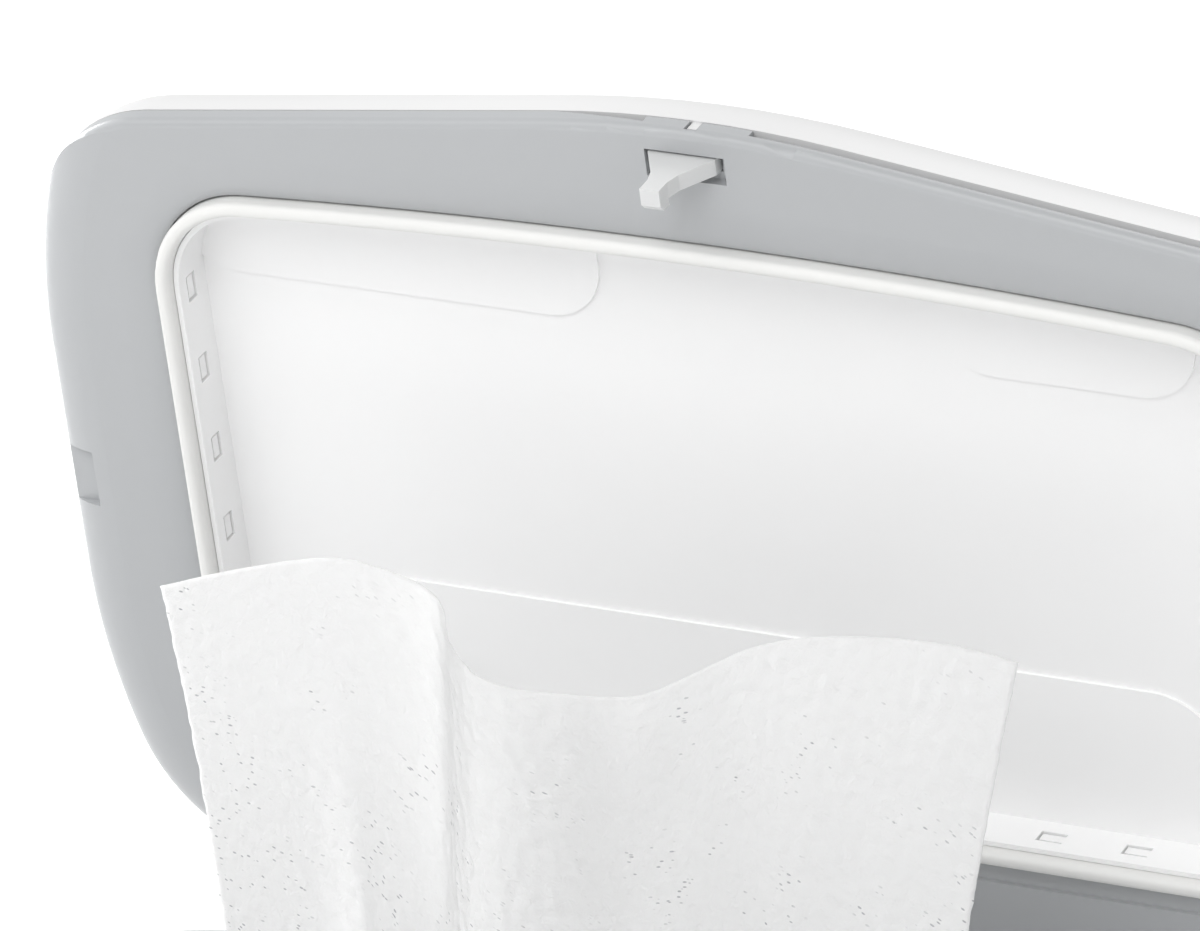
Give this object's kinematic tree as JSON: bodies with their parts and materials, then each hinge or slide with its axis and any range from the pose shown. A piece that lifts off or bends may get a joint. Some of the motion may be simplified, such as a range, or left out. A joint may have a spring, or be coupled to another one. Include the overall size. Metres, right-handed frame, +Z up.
{
  "type": "countertop wipes dispenser",
  "caption": "Countertop box for moist wipes with a sprung flip-up lid, sealed recess, latch hook, push button and sinking follower plate.",
  "frame": {"origin": "centre of the body's plan, on the surface that the grip pad stands on", "axes": "+X to the user's right, +Y away from the user towards the hinge, +Z up"},
  "size_m": [0.247, 0.1787, 0.2505],
  "materials": {
    "shell": "satin white ABS",
    "liner": "fine matt light grey ABS",
    "tray": "satin white ABS",
    "tub": "matt white polypropylene",
    "seal": "satin white silicone",
    "grip": "matt grey elastomer",
    "acetal": "natural white acetal",
    "steel": "zinc-plated steel",
    "wipes": "embossed white nonwoven"
  },
  "bodies": {
    "box": {"body_shell": "shell", "base_plate": "tub", "base_screws": "steel", "grip_pad": "grip", "inner_tub": "tub", "top_frame": "liner", "button_guide": "tub", "button_spring": "steel", "hinge_brackets": "shell", "bracket_screws": "steel", "hinge_pins": "steel", "torsion_springs": "steel", "wipe_stack": "wipes"},
    "lid": {"lid_shell": "shell", "lid_liner": "liner", "seal_ring": "seal", "recess_tray": "tray", "tray_retainer": "tub", "latch_hook": "acetal", "hook_screws": "steel"},
    "button": {"release_button": "liner", "latch_catch": "acetal"},
    "follower": {"weight_plate": "shell", "plate_cover": "tub", "ballast_bars": "steel", "slot_grommet": "seal", "popped_wipe": "wipes"}
  },
  "joints": [
    {"name": "lid_hinge", "type": "hinge", "parent": "box", "child": "lid", "pos_m": [0, 0.08425, 0.0945], "axis": [1, 0, 0], "range_deg": [0, 75], "stiffness_Nm_per_rad": 0.13, "springref_deg": -22.92, "deforming": ["popped_wipe", "torsion_springs", "latch_catch"]},
    {"name": "button_press", "type": "slide", "parent": "box", "child": "button", "axis": [0, 1, 0], "range_m": [0, 0.0025], "stiffness_N_per_m": 1200, "springref_m": -0.001, "deforming": ["button_spring"]},
    {"name": "follower_slide", "type": "slide", "parent": "box", "child": "follower", "axis": [0, 0, 1], "range_m": [-0.052, 0], "deforming": ["wipe_stack"]}
  ]
}
